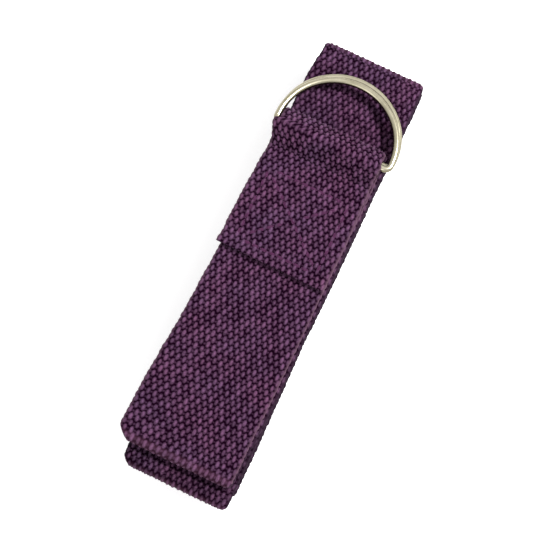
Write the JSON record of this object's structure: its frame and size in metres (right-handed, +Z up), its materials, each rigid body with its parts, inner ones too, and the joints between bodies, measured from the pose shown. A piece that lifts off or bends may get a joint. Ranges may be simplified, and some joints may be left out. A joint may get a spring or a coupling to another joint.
{
  "type": "stretching strap",
  "caption": "Heavy cotton webbing strap with D-rings sewn into one end, folded flat in a zigzag bundle; each fold opens and the rings swing.",
  "frame": {"origin": "middle of the underside of the lowest run of webbing, on the surface that the folded bundle lies on", "axes": "+X along the runs, towards the end with the rings; +Y across the webbing; +Z up out of the surface"},
  "size_m": [0.1637, 0.0449, 0.0366],
  "materials": {
    "webbing": "coarse woven cotton, matte",
    "thread": "sewing thread, slight sheen",
    "ring_metal": "polished pale plating"
  },
  "bodies": {
    "run_01": {"run_01": "webbing", "fold_01": "webbing", "ring_loop": "webbing", "tab": "webbing", "tab_stitching": "thread"},
    "run_02": {"run_02": "webbing", "fold_02": "webbing"},
    "run_03": {"run_03": "webbing", "fold_03": "webbing"},
    "run_04": {"run_04": "webbing", "fold_04": "webbing"},
    "run_05": {"run_05": "webbing", "fold_05": "webbing"},
    "run_06": {"run_06": "webbing"},
    "run_07": {"run_07": "webbing", "fold_06": "webbing"},
    "run_08": {"run_08": "webbing", "fold_07": "webbing"},
    "run_09": {"run_09": "webbing", "fold_08": "webbing"},
    "run_10": {"run_10": "webbing", "fold_09": "webbing"},
    "run_11": {"run_11": "webbing", "end_stitching": "thread", "fold_10": "webbing"},
    "ring_lower": {"ring_lower": "ring_metal"},
    "ring_upper": {"ring_upper": "ring_metal"}
  },
  "joints": [
    {"name": "open_fold_05", "type": "hinge", "parent": "run_06", "child": "run_05", "pos_m": [-0.078, 0.0002, 0.0154], "axis": [0, -1, 0], "range_deg": [0, 179.5], "deforming": ["fold_05"]},
    {"name": "open_fold_04", "type": "hinge", "parent": "run_05", "child": "run_04", "pos_m": [0.0791, 0.0003, 0.018], "axis": [0, 1, 0], "range_deg": [0, 179.5], "deforming": ["fold_04"]},
    {"name": "open_fold_03", "type": "hinge", "parent": "run_04", "child": "run_03", "pos_m": [-0.0796, 0, 0.0206], "axis": [0, -1, 0], "range_deg": [0, 179.5], "deforming": ["fold_03"]},
    {"name": "open_fold_02", "type": "hinge", "parent": "run_03", "child": "run_02", "pos_m": [0.0789, 0, 0.0232], "axis": [0, 1, 0], "range_deg": [0, 179.5], "deforming": ["fold_02"]},
    {"name": "open_fold_01", "type": "hinge", "parent": "run_02", "child": "run_01", "pos_m": [-0.0721, 0.003, 0.0258], "axis": [0, -1, 0], "range_deg": [0, 179.5], "deforming": ["fold_01"]},
    {"name": "open_fold_06", "type": "hinge", "parent": "run_06", "child": "run_07", "pos_m": [0.0793, -0.0004, 0.0128], "axis": [0, -1, 0], "range_deg": [0, 179.5], "deforming": ["fold_06"]},
    {"name": "open_fold_07", "type": "hinge", "parent": "run_07", "child": "run_08", "pos_m": [-0.0763, 0.0005, 0.0102], "axis": [0, 1, 0], "range_deg": [0, 179.5], "deforming": ["fold_07"]},
    {"name": "open_fold_08", "type": "hinge", "parent": "run_08", "child": "run_09", "pos_m": [0.0792, 0.0001, 0.0076], "axis": [0, -1, 0], "range_deg": [0, 179.5], "deforming": ["fold_08"]},
    {"name": "open_fold_09", "type": "hinge", "parent": "run_09", "child": "run_10", "pos_m": [-0.0745, -0.0005, 0.005], "axis": [0, 1, 0], "range_deg": [0, 179.5], "deforming": ["fold_09"]},
    {"name": "open_fold_10", "type": "hinge", "parent": "run_10", "child": "run_11", "pos_m": [0.0788, 0.0003, 0.0024], "axis": [0, -1, 0], "range_deg": [0, 179.5], "deforming": ["fold_10"]},
    {"name": "ring_pair_swing", "type": "hinge", "parent": "run_01", "child": "ring_lower", "pos_m": [0.0468, 0.002, 0.0313], "axis": [-0.007, -1, 0], "range_deg": [0, 160]},
    {"name": "upper_ring_lift", "type": "hinge", "parent": "ring_lower", "child": "ring_upper", "pos_m": [0.04575, 0.00111, 0.03264], "axis": [-0.007, 1, 0], "range_deg": [-165, 0]}
  ]
}
